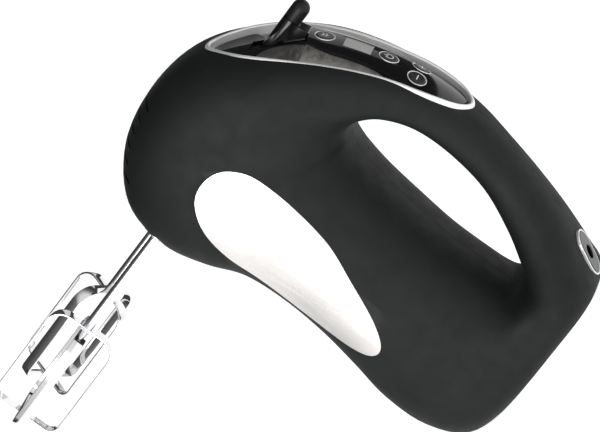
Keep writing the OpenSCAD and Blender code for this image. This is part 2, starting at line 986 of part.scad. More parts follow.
module brush_holders() {
    color("#c2a14a") for (x = [-1, 1]) on_motor() scale([x, 1, 1]) difference() {
        translate([10.2, -4.4, 50]) cube([14, 8.8, 12.8]);
        translate([9, -3.1, 51.7]) cube([14, 6.2, 9.4]);
    }
}

module carbon_brushes() {
    color("#2a2a2c") for (x = [-1, 1]) on_motor() scale([x, 1, 1])
        translate([9.6, -3, 51.8]) cube([11, 6, 9.2]);
}

module armature_shaft() {
    color("#b9bbbe") on_motor() translate([0, 0, shaft_low])
        cylinder(r = shaft_r2, h = worm_low - shaft_low);
}

// Cross-section of the two-start worm thread, turned by f.
function worm_section(f) =
    [for (lobe = [0, 180], q = [
            [3.8, -57.2], [5, -36.8], [6, -20], [6, 0], [6, 20], [5, 36.8],
            [3.8, 57.2], [3.8, 90]])
        q[0] * [cos(lobe + q[1] + f), sin(lobe + q[1] + f)]];

module worm() {
    slices = 84;
    length = worm_high - worm_low;
    turn = 360 * length / lead;
    start = -360 * (beater_z - worm_low) / lead - 90;
    color("#8d8f93") on_motor() {
        translate([0, 0, worm_low])
            skin([for (i = [0:slices])
                [for (p = worm_section(start + turn * i / slices))
                    [p[0], p[1], length * i / slices]]], 16);
        translate([0, 0, worm_high - touch]) cylinder(r = 2.5, h = 196 - worm_high);
    }
}

module armature_core() {
    color("#5f6164") on_motor() translate([0, 0, stack_low]) difference() {
        cylinder(r = core_r, h = stack_len);
        translate([0, 0, -1]) cylinder(r = shaft_r2, h = stack_len + 2);
        for (i = [0:11]) rotate(30 * i) translate([8, -1.1, -1]) cube([8, 2.2, stack_len + 2]);
    }
}

module armature_windings() {
    color("#a5541f") on_motor() for (z = [stack_low - 9.5, stack_high])
        translate([0, 0, z]) rotate_extrude() polygon([
            [shaft_r2 + 0.3, 0], [11.5, 0], [13, 2], [13, 7.5], [11.5, 9.5], [shaft_r2 + 0.3, 9.5]]);
}

module commutator() {
    color("#b87333") on_motor() translate([0, 0, 50]) difference() {
        cylinder(r = 9.5, h = 13);
        translate([0, 0, -1]) cylinder(r = shaft_r2, h = 15);
        for (i = [0:11]) rotate(15 + 30 * i) translate([8.3, -0.3, -1]) cube([3, 0.6, 16]);
    }
}

module cooling_fan() {
    color("#e4e4e0") on_motor() translate([0, 0, 119]) difference() {
        union() {
            cylinder(r = fan_r, h = 1.6);
            cylinder(r = 6.5, h = 12);
            for (i = [0:10]) rotate(360 / 11 * i)
                translate([5, -0.7, 1]) cube([fan_r - 5.6, 1.4, 10]);
        }
        translate([0, 0, -1]) cylinder(r = shaft_r2, h = 20);
    }
}

// ------------------------------------------------------------ electrics

module power_board() {
    color("#2e6b3c") translate([-46, -23, 8]) difference() {
        cube([54, 46, 1.6]);
        for (x = [4, 50], y = [4, 42]) translate([x, y, -1]) cylinder(r = 1.6, h = 4);
    }
}

module suppression_capacitor() {
    color("#c8a415") translate([-33, -14, 9.6]) {
        cube([18, 9, 14]);
        translate([0, 18, 0]) cube([24, 8, 9]);
    }
}

module cord_gland() {
    color("#0d0d0f") translate(gland_point) rotate([0, gland_tilt, 0]) difference() {
        union() {
            translate([0, 0, -7]) linear_extrude(8.2) gland_shape(6.4, 4);
            translate([0, 0, -7]) linear_extrude(2) gland_shape(7.6, 4);
        }
        translate([0, 0, -20]) cylinder(r = cord_r, h = 40);
    }
}

module gland_bezel() {
    color("#d8d8da") translate(gland_point) rotate([0, gland_tilt, 0])
        translate([0, 0, -2]) linear_extrude(3) difference() {
            gland_shape(7.3, 4);
            gland_shape(6.45, 4);
        }
}

left_housing();
right_housing();
left_side_inlay();
right_side_inlay();
panel_base();
lever_surround();
control_strip();
panel_trim_ring();
button_bezels();
display_window();
control_board();
key_switches();
boost_button();
power_button();
minus_button();
plus_button();
eject_lever();
lever_cap();
lever_pin();
eject_pusher();
eject_springs();
gearbox_frame();
gearbox_cover();
gearbox_screws();
lower_bushes();
upper_bushes();
socket_collars();
motor_stator();
field_windings();
motor_bridge();
motor_screws();
front_bearing();
rear_bearing();
nose_bearing();
brush_holders();
carbon_brushes();
armature_shaft();
worm();
armature_core();
armature_windings();
commutator();
cooling_fan();
left_drive_gear();
right_drive_gear();
left_spindle();
right_spindle();
left_beater_shaft();
left_outer_hoop();
left_inner_hoop();
right_beater_shaft();
right_outer_hoop();
right_inner_hoop();
power_board();
suppression_capacitor();
cord_gland();
gland_bezel();
housing_screws();
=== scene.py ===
"""Looks of the hand mixer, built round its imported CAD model. Lengths are in millimetres until mesh()."""

import json
import math

import bmesh
import bpy
from mathutils import Matrix, Vector


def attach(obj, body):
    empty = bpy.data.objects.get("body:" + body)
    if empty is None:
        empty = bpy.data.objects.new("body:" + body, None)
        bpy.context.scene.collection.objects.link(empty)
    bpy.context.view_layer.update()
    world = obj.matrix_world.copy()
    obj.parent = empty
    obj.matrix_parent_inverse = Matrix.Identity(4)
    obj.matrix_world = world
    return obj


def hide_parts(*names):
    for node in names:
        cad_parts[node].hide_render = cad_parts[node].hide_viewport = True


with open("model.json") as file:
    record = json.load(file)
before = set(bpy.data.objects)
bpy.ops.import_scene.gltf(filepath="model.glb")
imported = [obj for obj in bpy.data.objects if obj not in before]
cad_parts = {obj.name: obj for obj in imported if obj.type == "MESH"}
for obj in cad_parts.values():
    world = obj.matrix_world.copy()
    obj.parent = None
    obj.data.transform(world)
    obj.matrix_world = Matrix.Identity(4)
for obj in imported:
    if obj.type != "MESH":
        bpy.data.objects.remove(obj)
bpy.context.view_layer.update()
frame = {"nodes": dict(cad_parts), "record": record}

MM = 0.001

# The casing as in the CAD: opening edge x and z, outer edge x and z, half width, squareness.
STATIONS = [
    (14.5, 44, -64.5, 46, 37.5, 2.7),
    (14.5, 66, -60, 66, 38.5, 2.6),
    (16.5, 87, -55.5, 88, 39.5, 2.6),
    (19, 106, -53.5, 111, 40.5, 2.6),
    (22, 119, -55, 132, 42, 2.6),
    (24.5, 126, -62, 150, 43, 2.7),
    (27, 129.5, -66.5, 171, 43, 2.7),
    (28.5, 131, -60.5, 194, 42, 2.6),
    (30, 132, -38.5, 210, 41, 2.6),
    (31.5, 132.5, -12, 214.5, 40, 2.6),
    (34, 132.5, 14, 209, 39, 2.5),
    (38, 131.5, 35.8, 192.4, 37, 2.5),
    (43, 130, 53.4, 169, 33.5, 3),
    (48.5, 122.5, 64.9, 144.9, 28, 2.9),
    (51.5, 108.5, 71.6, 119.8, 21.5, 2.9),
    (50, 90, 72.5, 92, 18, 2.5),
    (45, 68, 68.5, 70, 16.5, 2.3),
    (35.5, 48, 63, 50, 18.5, 2.3),
    (27, 34.5, 56, 30.5, 22.5, 2.3),
    (24, 28.5, 47, 12.5, 28, 2.4),
    (21.5, 26, 37, -1, 32, 2.9),
    (18.5, 26, 10, -2, 34.5, 3.8),
    (16, 28, -25.5, -2, 36, 3.6),
    (14.5, 31.5, -52, 4, 37, 3.2),
    (14.5, 36, -63.5, 23, 37, 2.9),
]
WALL = 2.5
LOFT_STEPS = 6
SECTION_POINTS = 112

# Half outline of the panel as length and half width, and the inlay's outline as x and z.
PANEL_EDGE = [
    (3.5, 0), (5, 5.5), (9.5, 11), (16, 16.3), (23, 20.3), (34, 23.6), (48, 24.9), (62, 24.2),
    (76, 22), (90, 19.6), (104, 18), (115, 15), (122, 11.2), (126.5, 5.5), (128, 0),
]
INLAY_EDGE = [
    (-18, 172), (-8, 169), (-1.5, 160), (0, 148), (-1, 132), (-6, 111), (-14.5, 93), (-25, 73),
    (-34, 63), (-41, 64.5), (-44.5, 76), (-45, 98), (-43.5, 120), (-41, 140), (-36.5, 158),
    (-28, 169),
]
INLAY_PROUD = 0.4

FRONT_TIP = Vector((16, 0, 208.4))
PANEL_TILT = math.radians(63.9)
PANEL_LENGTH = 128
PANEL_SAG = 13.2
PANEL_R = (PANEL_LENGTH**2 / 4 + PANEL_SAG**2) / (2 * PANEL_SAG)
BASE_DEEP = 7
# The panel's opening is this much larger than the panel, and its cutter reaches this high.
CUT_GAP, CUT_TOP = 0.1, 60
TRIM_TOP, TRIM_LOW, TRIM_W = 1.4, -4.7, 2.2
STRIP_CENTRE = (51.5, -141)
STRIP_R, CROWN_R = 160, 34
BUTTONS = {"boost": (56.5, 0), "power": (86.5, 0), "minus": (101.3, -6), "plus": (101.3, 6)}
CAP_TOP = 0.3
BEZEL_R, WELL_R = 4.9, 4.3

SHAFT_Y, SHAFT_Z = 21, 173
HUB_X, CAGE_LENGTH, CAGE_R = -121.5, 57.7, 17.75
STRIP_W, STRIP_T = 5.5, 1
PHASES = {"left": 0, "right": 54}

STALK_Z, GRIP_START, STALK_END, GRIP_R = 182, 55, 61.6, 4.2
FLOOR_HALF = 20000
# The backdrop's direction, and the studio's brightness from opposite it (0) to it (1).
BACKDROP_WAY = (-0.439, 0.896, -0.074)
STUDIO_STEPS = ((0.0, 0.8), (0.22, 0.7), (0.36, 0.15), (0.5, 0.05), (0.94, 0.05), (0.97, 1.0))
WORLD_STRENGTH, FLOOR_GLOW, KEY_WATTS, BACK_WATTS = 1.06, 0.85, 13, 1.2
GLAND_POINT, GLAND_TILT = Vector((47, 0, 12.5)), math.radians(119)
GLAND_HOLE = (7.4, 4)
SOCKET_R = 7.4
SCREWS = [(-40, 14), (26, 13), (53, 70), (-48.5, 124), (-6, 203.5)]
SCREW_HOLE_R = 3.1
VENTS, FIRST_VENT, VENT_STEP = 6, Vector((-46, -17, 204)), Vector((6.6, 0, 1.1))
# Distance of each casing half from the middle plane.
HALF_GAP = 0.08

# ------------------------------------------------------------------ curves


def catmull(a, b, c, d, t):
    """Catmull-Rom value between b and c."""
    return 0.5 * (
        2 * b + (c - a) * t + (2 * a - 5 * b + 4 * c - d) * t**2 + (3 * b - a - 3 * c + d) * t**3
    )


def smooth(points, steps):
    """Closed list of points with extra points blended in between."""
    n = len(points)
    return [
        tuple(
            catmull(*(points[(i + j) % n][axis] for j in (-1, 0, 1, 2)), k / steps)
            for axis in range(len(points[0]))
        )
        for i in range(n)
        for k in range(steps)
    ]


def both_sides(half):
    return half + [(u, -y) for u, y in reversed(half) if y > 0]


def inset(points, distance):
    """Closed outline moved inwards."""
    n = len(points)
    out = []
    for i, (x, y) in enumerate(points):
        ahead, behind = points[(i + 1) % n], points[i - 1]
        t = Vector((ahead[0] - behind[0], ahead[1] - behind[1])).normalized()
        out.append((x + distance * t.y, y - distance * t.x))
    return out


def spow(value, power):
    return math.copysign(abs(value) ** power, value)


def arc(centre, radius, start, end, steps):
    """Points of an arc, angles in degrees."""
    return [
        (
            centre[0] + radius * math.cos(math.radians(start + (end - start) * i / steps)),
            centre[1] + radius * math.sin(math.radians(start + (end - start) * i / steps)),
        )
        for i in range(steps + 1)
    ]


# ------------------------------------------------------------------ meshes


def placed(name, data):
    """Object of this data in the scene."""
    obj = bpy.data.objects.new(name, data)
    bpy.context.scene.collection.objects.link(obj)
    return obj


def mesh(name, verts, faces):
    """Object of a closed mesh whose points are in millimetres."""
    data = bpy.data.meshes.new(name)
    data.from_pydata([Vector(v) * MM for v in verts], [], faces)
    bm = bmesh.new()
    bm.from_mesh(data)
    bmesh.ops.remove_doubles(bm, verts=bm.verts, dist=1e-7)
    bmesh.ops.recalc_face_normals(bm, faces=bm.faces)
    bm.to_mesh(data)
    bm.free()
    return placed(name, data)


def loft(name, rings, closed=False):
    """Skin over rings of equal length: a closed loop of them, or capped at both ends."""
    m, n = len(rings), len(rings[0])
    faces = [
        (i * n + k, i * n + (k + 1) % n, (i + 1) % m * n + (k + 1) % n, (i + 1) % m * n + k)
        for i in range(m if closed else m - 1)
        for k in range(n)
    ]
    if not closed:
        faces += [tuple(range(n)), tuple(range((m - 1) * n, m * n))]
    return mesh(name, [v for ring in rings for v in ring], faces)


def prism(name, outline, low, high, place=Matrix()):
    """Outline extruded from low to high along the local z of place."""
    return loft(name, [[place @ Vector((x, y, z)) for x, y in outline] for z in (low, high)])


def revolve(name, profile, place, count=48):
    """Profile of (distance along z, radius) turned round the local z of place."""
    rings = [
        [
            place
            @ Vector(
                (r * math.cos(2 * math.pi * k / count), r * math.sin(2 * math.pi * k / count), z)
            )
            for k in range(count)
        ]
        for z, r in profile
    ]
    return loft(name, rings)


def box(name, low, high):
    return prism(
        name, [(low[0], low[1]), (high[0], low[1]), (high[0], high[1]), (low[0], high[1])],
        low[2], high[2],
    )


def apply_modifiers(obj):
    bpy.context.view_layer.update()
    done = bpy.data.meshes.new_from_object(obj.evaluated_get(bpy.context.evaluated_depsgraph_get()))
    obj.modifiers.clear()
    obj.data = done
    return obj


def carve(obj, tool, operation="DIFFERENCE"):
    """Boolean of obj with tool, which is used up."""
    modifier = obj.modifiers.new("carve", "BOOLEAN")
    modifier.solver = "MANIFOLD"
    modifier.operation = operation
    modifier.object = tool
    apply_modifiers(obj)
    bpy.data.objects.remove(tool)
    return obj


def join(name, objs):
    """One object of several closed meshes."""
    bm = bmesh.new()
    for o in objs:
        bm.from_mesh(o.data)
    data = bpy.data.meshes.new(name)
    bm.to_mesh(data)
    bm.free()
    for o in objs:
        bpy.data.objects.remove(o)
    return placed(name, data)


def clean(obj, flat=0.5):
    """Welds the mesh and removes the edges that lie inside flat faces."""
    bm = bmesh.new()
    bm.from_mesh(obj.data)
    bmesh.ops.remove_doubles(bm, verts=bm.verts, dist=2e-6)
    bmesh.ops.dissolve_degenerate(bm, edges=bm.edges, dist=2e-6)
    bmesh.ops.dissolve_limit(
        bm, angle_limit=math.radians(flat), verts=bm.verts, edges=bm.edges,
        delimit={"NORMAL"},
    )
    bm.to_mesh(obj.data)
    bm.free()
    return obj


def shade(obj, sharp=32):
    """Smooth shading with the edges over this many degrees kept sharp."""
    bm = bmesh.new()
    bm.from_mesh(obj.data)
    for f in bm.faces:
        f.smooth = True
    for e in bm.edges:
        e.smooth = len(e.link_faces) == 2 and e.calc_face_angle(0) < math.radians(sharp)
    bm.to_mesh(obj.data)
    bm.free()
    return obj


def round_edges(obj, width, angle=30, segments=3):
    modifier = obj.modifiers.new("round", "BEVEL")
    modifier.width = width * MM
    modifier.segments = segments
    modifier.limit_method = "ANGLE"
    modifier.angle_limit = math.radians(angle)
    modifier.use_clamp_overlap = True
    modifier.harden_normals = True
    return obj


def rounded_copy(node, width, segments=3, flat=0.5, angle=30):
    """Copy of a CAD node with its edges rounded, which stands in for it."""
    obj = placed(node + "_finish", frame["nodes"][node].data.copy())
    obj.data.materials.clear()
    clean(obj, flat)
    shade(obj)
    round_edges(obj, width, angle, segments)
    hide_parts(node)
    return obj


def body_of(node):
    return next(b for b, nodes in frame["record"]["behaviour"]["bodies"].items() if node in nodes)


def slot_of(node):
    return next(
        s["material_slot"] for s in frame["record"]["subparts"] if s["node"] == node
    )


def finish_piece(obj, node, material=None, *replaced):
    """Gives a piece its material, by default the one of its node's slot, and lets it ride as the CAD node
    does.
    """
    obj.data.materials.clear()
    obj.data.materials.append(material or MATERIALS[slot_of(node)])
    if replaced:
        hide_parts(*replaced)
    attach(obj, body_of(node))
    return obj


# --------------------------------------------------------------- materials


class Shader:
    """A Principled shader with short calls for the nodes that feed it."""

    def __init__(self, name, colour, rough, metal=0.0, **sockets):
        self.material = bpy.data.materials.new(name)
        self.material.use_nodes = True
        self.tree = self.material.node_tree
        self.shader = self.tree.nodes["Principled BSDF"]
        self.colour = colour
        self.rough = rough
        self.set(self.shader, "Base Color", (*colour, 1))
        self.set(self.shader, "Roughness", rough)
        self.set(self.shader, "Metallic", metal)
        for socket, value in sockets.items():
            self.set(self.shader, socket.replace("_", " "), value)

    def set(self, node, socket, value):
        if isinstance(value, bpy.types.NodeSocket):
            self.tree.links.new(value, node.inputs[socket])
        else:
            node.inputs[socket].default_value = value

    def place(self, stretch=(1, 1, 1)):
        """Object coordinates, stretched along the axes."""
        coordinates = self.tree.nodes.new("ShaderNodeTexCoord")
        mapping = self.tree.nodes.new("ShaderNodeMapping")
        self.tree.links.new(coordinates.outputs["Object"], mapping.inputs["Vector"])
        mapping.inputs["Scale"].default_value = stretch
        return mapping.outputs["Vector"]

    def noise(self, scale, detail=3.0, stretch=(1, 1, 1)):
        made = self.tree.nodes.new("ShaderNodeTexNoise")
        self.set(made, "Vector", self.place(stretch))
        self.set(made, "Scale", scale)
        self.set(made, "Detail", detail)
        return made.outputs["Fac"]

    def remap(self, value, low, high, to_low, to_high):
        made = self.tree.nodes.new("ShaderNodeMapRange")
        self.tree.links.new(value, made.inputs["Value"])
        for socket, number in zip(
            ("From Min", "From Max", "To Min", "To Max"), (low, high, to_low, to_high)
        ):
            made.inputs[socket].default_value = number
        return made.outputs["Result"]

    def vary_colour(self, value, other, low=0.35, high=0.65):
        """Blends the base colour towards another where value is high."""
        mix = self.tree.nodes.new("ShaderNodeMix")
        mix.data_type = "RGBA"
        self.tree.links.new(self.remap(value, low, high, 0, 1), mix.inputs["Factor"])
        linked = self.shader.inputs["Base Color"].links
        if linked:
            self.tree.links.new(linked[0].from_socket, mix.inputs["A"])
        else:
            mix.inputs["A"].default_value = (*self.colour, 1)
        mix.inputs["B"].default_value = (*other, 1)
        self.tree.links.new(mix.outputs["Result"], self.shader.inputs["Base Color"])
        return self

    def vary_rough(self, value, spread, low=0.3, high=0.7):
        self.set(
            self.shader, "Roughness",
            self.remap(value, low, high, self.rough - spread, self.rough + spread),
        )
        return self

    def bump(self, value, height):
        """Adds a bump of this height in millimetres."""
        made = self.tree.nodes.new("ShaderNodeBump")
        made.inputs["Distance"].default_value = height * MM
        made.inputs["Strength"].default_value = 1
        self.tree.links.new(value, made.inputs["Height"])
        linked = self.shader.inputs["Normal"].links
        if linked:
            self.tree.links.new(linked[0].from_socket, made.inputs["Normal"])
        self.tree.links.new(made.outputs["Normal"], self.shader.inputs["Normal"])
        return self

    def worn_edges(self, colour, low=0.53, high=0.6):
        """Lighter colour where the surface bulges out sharply."""
        geometry = self.tree.nodes.new("ShaderNodeNewGeometry")
        return self.vary_colour(geometry.outputs["Pointiness"], colour, low, high)


def plastic(name, colour, rough, grain=900, height=0.012, **sockets):
    """Moulded plastic: fine spark-eroded grain, uneven gloss and slight wear at the edges."""
    s = Shader(name, colour, rough, **sockets)
    s.vary_colour(s.noise(60, 5), tuple(c * 1.25 + 0.002 for c in colour), 0.4, 0.8)
    s.vary_rough(s.noise(140, 4), 0.05)
    s.bump(s.noise(grain, 2), height)
    s.worn_edges(tuple(c * 1.5 + 0.01 for c in colour))
    return s.material


def gloss(name, colour, rough):
    """Polished plastic: faint dust and hairline wipe marks."""
    s = Shader(name, colour, rough)
    s.vary_colour(s.noise(90, 6), tuple(c * 1.6 + 0.003 for c in colour), 0.55, 0.85)
    s.vary_rough(s.noise(220, 4, (1, 0.2, 1)), rough * 0.35)
    s.bump(s.noise(45, 2), 0.012)
    return s.material


def metal(
    name, colour, rough, lines=(1, 1, 1), scale=500, height=0.006, tint=0.85, metallic=1.0
):
    """Metal: grain along one axis, uneven gloss and slight tarnish."""
    s = Shader(name, colour, rough, metallic)
    s.vary_colour(s.noise(55, 5), tuple(c * tint for c in colour), 0.45, 0.8)
    s.vary_rough(s.noise(scale, 3, lines), rough * 0.3)
    s.bump(s.noise(scale * 2, 2, lines), height)
    return s.material


def make_materials():
    """One material for each slot in the record."""
    return {
        "casing_black": plastic(
            "casing_black", (0.005, 0.0064, 0.0066), 0.66, 1500, 0.01, Specular_IOR_Level=0.28
        ),
        "satin_steel": metal(
            "satin_steel", (0.77, 0.75, 0.73), 0.34, (1, 1, 0.05), 700, 0.0012, 0.95
        ),
        "panel_grey": metal("panel_grey", (0.42, 0.41, 0.39), 0.42, (1, 0.06, 1), 700, 0.004),
        "gloss_black": gloss("gloss_black", (0.006, 0.006, 0.007), 0.08),
        "trim_chrome": metal(
            "trim_chrome", (0.92, 0.92, 0.92), 0.2, (1, 1, 1), 160, 0.002, 0.97, metallic=0.45
        ),
        "display": gloss("display", (0.36, 0.37, 0.36), 0.2),
        "circuit_board": plastic("circuit_board", (0.02, 0.13, 0.05), 0.35, 400, 0.02),
        "black_plastic": plastic("black_plastic", (0.018, 0.018, 0.02), 0.4),
        "button_black": plastic("button_black", (0.014, 0.014, 0.016), 0.28, 1400, 0.006),
        "lever_black": gloss("lever_black", (0.003, 0.003, 0.0035), 0.16),
        "grip_rubber": plastic(
            "grip_rubber", (0.002, 0.002, 0.0025), 0.4, 1000, 0.02, Specular_IOR_Level=0.3
        ),
        "plain_steel": metal("plain_steel", (0.6, 0.61, 0.62), 0.28, (0.1, 1, 1)),
        "cast_grey": plastic("cast_grey", (0.13, 0.135, 0.14), 0.5, 500, 0.03),
        "core_iron": metal("core_iron", (0.28, 0.28, 0.29), 0.45, (1, 1, 12), 260, 0.03),
        "copper": metal("copper", (0.6, 0.22, 0.07), 0.3, (1, 8, 1), 220, 0.05),
        "bush_bronze": metal("bush_bronze", (0.62, 0.42, 0.19), 0.38, (1, 1, 1), 420, 0.015),
        "carbon": plastic("carbon", (0.02, 0.02, 0.02), 0.6, 700, 0.02),
        "white_plastic": plastic("white_plastic", (0.72, 0.7, 0.62), 0.4, 700, 0.01),
        "beater_chrome": metal("beater_chrome", (0.88, 0.88, 0.89), 0.06, (1, 1, 1), 120, 0.002),
        "capacitor_yellow": gloss("capacitor_yellow", (0.6, 0.4, 0.03), 0.25),
    }


MATERIALS = make_materials()
MARKING = gloss("marking_white", (0.8, 0.8, 0.8), 0.35)

# ------------------------------------------------------------------ frames

ON_PANEL = Matrix.Translation(FRONT_TIP) @ Matrix.Rotation(PANEL_TILT, 4, "Y")
ON_GLAND = Matrix.Translation(GLAND_POINT) @ Matrix.Rotation(GLAND_TILT, 4, "Y")
FROM_SIDE = Matrix.Rotation(math.radians(90), 4, "X")


def on_shaft(side, turn=0.0):
    """Frame on one beater's axis, z towards the nose's far side along +X."""
    return (
        Matrix.Translation((0, side * SHAFT_Y, SHAFT_Z))
        @ Matrix.Rotation(math.radians(turn), 4, "X")
    )


def on_crown(u, y):
    """Frame on the control strip's crown, z along the outward normal."""
    return (
        ON_PANEL
        @ Matrix.Translation((STRIP_CENTRE[0], 0, STRIP_CENTRE[1]))
        @ Matrix.Rotation(math.asin((u - STRIP_CENTRE[0]) / STRIP_R), 4, "Y")
        @ Matrix.Translation((0, 0, STRIP_R - CROWN_R))
        @ Matrix.Rotation(-math.asin(y / CROWN_R), 4, "X")
        @ Matrix.Translation((0, 0, CROWN_R))
    )


def arc_height(u, above):
    """Height of the panel's arc, raised by above, at length u."""
    along = min(max(u, 0), PANEL_LENGTH) - PANEL_LENGTH / 2
    return PANEL_SAG - PANEL_R + math.sqrt((PANEL_R + above) ** 2 - along**2)


def stadium(radius, half, steps=12):
    return arc((half, 0), radius, -90, 90, steps) + arc((-half, 0), radius, 90, 270, steps)


# ------------------------------------------------------------------ casing


def casing_solid(depth):
    """The whole casing as a closed ring round its handle opening, moved inwards by depth."""
    rings = []
    for hx, hz, cx, cz, half_width, squareness in smooth(STATIONS, LOFT_STEPS):
        start, end = Vector((hx, hz)), Vector((cx, cz))
        middle, half = (start + end) / 2, (end - start).length / 2
        way, power = (end - start).normalized(), 2 / squareness
        ring = []
        for k in range(SECTION_POINTS):
            f = 2 * math.pi * k / SECTION_POINTS
            q = middle + way * (half - depth) * spow(math.cos(f), power)
            ring.append((q.x, (half_width - depth) * spow(math.sin(f), power), q.y))
        rings.append(ring)
    solid = loft("casing", rings, closed=True)
    return carve(solid, box("below", (-150, -80, -60), (150, 80, max(depth, 0))))


def panel_cutter():
    """What the panel's opening takes away: a prism with a floor along the panel's arc."""
    outline = inset(smooth(both_sides(PANEL_EDGE), 6), -CUT_GAP)
    half = outline[: len(outline) // 2 + 1]
    rings = []
    for u, y in half[1:-1]:
        floor = arc_height(u, -BASE_DEEP - CUT_GAP)
        y = max(abs(y), 0.4)
        ring = [(u, -y, CUT_TOP), (u, y, CUT_TOP), (u, y, floor), (u, -y, floor)]
        rings.append([ON_PANEL @ Vector(p) for p in ring])
    return loft("panel_cutter", rings)


def inlay_prism(distance):
    outline = inset(smooth(INLAY_EDGE, 6), distance)
    return prism("inlay_prism", outline, 15, 60, FROM_SIDE)


def vent_cutters():
    """Slots in the nose, each 1.4 mm wide."""
    for i in range(VENTS):
        place = (
            Matrix.Translation(FIRST_VENT + i * VENT_STEP)
            @ Matrix.Rotation(math.radians(-22), 4, "X")
            @ Matrix.Rotation(math.radians(90), 4, "Z")
        )
        yield prism("vent", stadium(0.7, 6, 6), -20, 20, place)


def left_casing():
    """The left half: outside, hollow, and every opening that the CAD half has."""
    half = casing_solid(0)
    carve(half, box("other_side", (-150, -HALF_GAP, -60), (150, 80, 260)))
    carve(half, casing_solid(WALL))
    carve(half, panel_cutter())
    pocket = inlay_prism(-0.15)
    carve(half, carve(pocket, casing_solid(0.9)))
    along = on_shaft(-1) @ Matrix.Rotation(math.radians(90), 4, "Y")
    carve(half, revolve("socket", [(-90, SOCKET_R), (-50, SOCKET_R)], along))
    for vent in vent_cutters():
        carve(half, vent)
    carve(half, prism("gland_hole", stadium(*GLAND_HOLE), -20, 20, ON_GLAND))
    return half


def mirrored(obj, name):
    """Copy of obj on the other side of the middle plane."""
    bm = bmesh.new()
    bm.from_mesh(obj.data)
    bmesh.ops.scale(bm, vec=(1, -1, 1), verts=bm.verts)
    bmesh.ops.reverse_faces(bm, faces=bm.faces)
    data = bpy.data.meshes.new(name)
    bm.to_mesh(data)
    bm.free()
    return placed(name, data)


def make_casing():
    left = left_casing()
    left.name = "left_casing"
    right = mirrored(left, "right_casing")
    for x, z in SCREWS:
        place = Matrix.Translation((x, 0, z)) @ Matrix.Rotation(math.radians(-90), 4, "X")
        carve(right, revolve("screw_hole", [(8, SCREW_HOLE_R), (60, SCREW_HOLE_R)], place, 32))
    for obj in (left, right):
        clean(obj, 0.05)
        shade(obj)
        round_edges(obj, 0.3, 40, 2)
        node = obj.name.split("_")[0] + "_housing"
        finish_piece(obj, node, None, node)


def make_inlays():
    plate = carve(inlay_prism(0), casing_solid(0.8))
    plate = carve(plate, casing_solid(-INLAY_PROUD), "INTERSECT")
    plate.name = "left_inlay"
    clean(plate, 0.05)
    other = mirrored(plate, "right_inlay")
    for obj in (plate, other):
        shade(obj)
        round_edges(obj, 0.35, 40)
        node = obj.name.replace("inlay", "side_inlay")
        finish_piece(obj, node, None, node)


# ------------------------------------------------------------------- panel


def make_trim_ring():
    """Polished band with a round top."""
    outline = smooth(both_sides(PANEL_EDGE), 10)
    r = TRIM_W / 2
    profile = [(0, TRIM_LOW)] + arc((r, TRIM_TOP - r), r, 180, 0, 12) + [(TRIM_W, TRIM_LOW)]
    rows = [inset(outline, distance) for distance, _ in profile]
    rings = [
        [
            ON_PANEL @ Vector((*row[i], arc_height(row[i][0], height)))
            for row, (_, height) in zip(rows, profile)
        ]
        for i in range(len(outline))
    ]
    ring = shade(loft("panel_trim", rings, closed=True), 50)
    finish_piece(ring, "panel_trim_ring", None, "panel_trim_ring")


def strokes(name, place, shapes, node):
    """Flat marks, just proud of a button's cap."""
    parts = [prism(name, outline, CAP_TOP - 0.1, CAP_TOP + 0.08, place) for outline in shapes]
    finish_piece(join(name, parts), node, MARKING)


def bar(x, y, width, height):
    """Rectangle of this half width and half height."""
    return [
        (x - width, y - height), (x + width, y - height), (x + width, y + height),
        (x - width, y + height),
    ]


def open_ring(radius, width, start, end, steps=28):
    """Part of a ring, this much to each side of its radius."""
    outer = arc((0, 0), radius + width, start, end, steps)
    return outer + arc((0, 0), radius - width, end, start, steps)


def chevron(x):
    return [(x, -1.5), (x + 0.5, -1.5), (x + 1.6, 0), (x + 0.5, 1.5), (x, 1.5), (x + 1.1, 0)]


def make_markings():
    """Generic signs: a double chevron, a power sign, a minus and a plus."""
    thin, thick = 0.22, 0.24
    minus = bar(0, 0, thick, 1.9)
    marks = {
        "boost": [chevron(-1.7), chevron(-0.1)],
        "power": [open_ring(1.9, thin, 215, 505), bar(-1.6, 0, 1.1, thin)],
        "minus": [minus],
        "plus": [minus, bar(-1.07, 0, 0.83, thick), bar(1.07, 0, 0.83, thick)],
    }
    for name, shapes in marks.items():
        strokes(name + "_mark", on_crown(*BUTTONS[name]), shapes, name + "_button")


def make_bezels():
    """Round-topped light rings, one about each push button."""
    parts = []
    middle, half = (BEZEL_R + WELL_R) / 2, (BEZEL_R - WELL_R) / 2
    profile = [(BEZEL_R, -0.9), (WELL_R, -0.9)] + arc((middle, -0.05 - half), half, 180, 0, 8)
    count = 64
    for where in BUTTONS.values():
        rings = []
        for k in range(count):
            turned = on_crown(*where) @ Matrix.Rotation(2 * math.pi * k / count, 4, "Z")
            rings.append([turned @ Vector((r, 0, z)) for r, z in profile])
        parts.append(loft("bezel", rings, closed=True))
    finish_piece(shade(join("bezels", parts), 40), "button_bezels", None, "button_bezels")


def make_panel():
    make_trim_ring()
    for node, width in (
        ("panel_base", 0.3), ("lever_surround", 0.35), ("control_strip", 0.4),
        ("display_window", 0.12), ("boost_button", 0.5), ("power_button", 0.5),
        ("minus_button", 0.5), ("plus_button", 0.5),
    ):
        finish_piece(rounded_copy(node, width), node)
    make_bezels()
    make_markings()


# ------------------------------------------------------------------- lever


def grip_skin(place, skin, edge=0.5):
    """Sleeve with a rounded rim and a domed end."""
    profile = [(GRIP_START, skin - 0.68), (GRIP_START, skin - edge)]
    profile += arc((GRIP_START + edge, skin - edge), edge, 150, 90, 2)
    profile += arc((STALK_END, 0), skin, 90, 6, 14) + [(STALK_END + skin, 0.05)]
    return revolve("grip", profile, place, 64)


